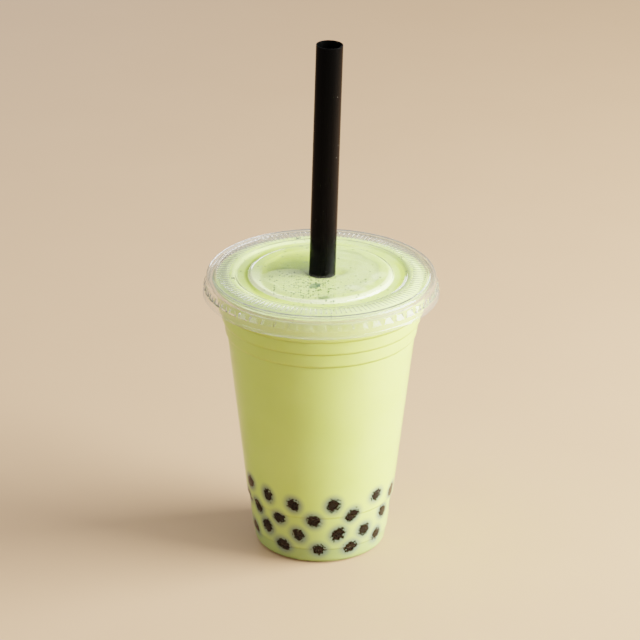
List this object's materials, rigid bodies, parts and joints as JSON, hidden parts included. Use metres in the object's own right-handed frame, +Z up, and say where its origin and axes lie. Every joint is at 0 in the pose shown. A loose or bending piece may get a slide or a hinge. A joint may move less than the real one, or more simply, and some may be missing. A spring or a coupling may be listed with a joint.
{
  "type": "bubble tea",
  "caption": "Milk tea with froth and tapioca pearls in a clear tapered cup, under a flat clear lid with a wide straw through its centre.",
  "frame": {"origin": "centre of the cup's foot, on the surface that it stands on", "axes": "+Z up along the cup's axis, towards the straw's mouth; -Y towards the viewer of the picture; the straw leans towards +X"},
  "size_m": [0.1018, 0.1018, 0.2299],
  "materials": {
    "cup_plastic": "clear glossy thermoformed plastic",
    "lid_plastic": "clear glossy thermoformed plastic",
    "straw_plastic": "satin black extruded plastic",
    "milk_tea": "opaque milky pale green drink, smooth and wet",
    "froth": "fine pale green froth, slightly glossy",
    "tapioca": "wet dark brown-black starch pearls"
  },
  "bodies": {
    "root": {"cup": "cup_plastic", "lid": "lid_plastic", "straw": "straw_plastic", "drink": "milk_tea", "foam": "froth", "pearl_01": "tapioca", "pearl_02": "tapioca", "pearl_03": "tapioca", "pearl_04": "tapioca", "pearl_05": "tapioca", "pearl_06": "tapioca", "pearl_07": "tapioca", "pearl_08": "tapioca", "pearl_09": "tapioca", "pearl_10": "tapioca", "pearl_11": "tapioca", "pearl_12": "tapioca", "pearl_13": "tapioca", "pearl_14": "tapioca", "pearl_15": "tapioca", "pearl_16": "tapioca", "pearl_17": "tapioca", "pearl_18": "tapioca", "pearl_19": "tapioca", "pearl_20": "tapioca", "pearl_21": "tapioca", "pearl_22": "tapioca", "pearl_23": "tapioca", "pearl_24": "tapioca", "pearl_25": "tapioca", "pearl_26": "tapioca", "pearl_27": "tapioca", "pearl_28": "tapioca", "pearl_29": "tapioca", "pearl_30": "tapioca", "pearl_31": "tapioca", "pearl_32": "tapioca", "pearl_33": "tapioca", "pearl_34": "tapioca", "pearl_35": "tapioca", "pearl_36": "tapioca", "pearl_37": "tapioca", "pearl_38": "tapioca", "pearl_39": "tapioca", "pearl_40": "tapioca", "pearl_41": "tapioca", "pearl_42": "tapioca", "pearl_43": "tapioca", "pearl_44": "tapioca"}
  },
  "joints": []
}
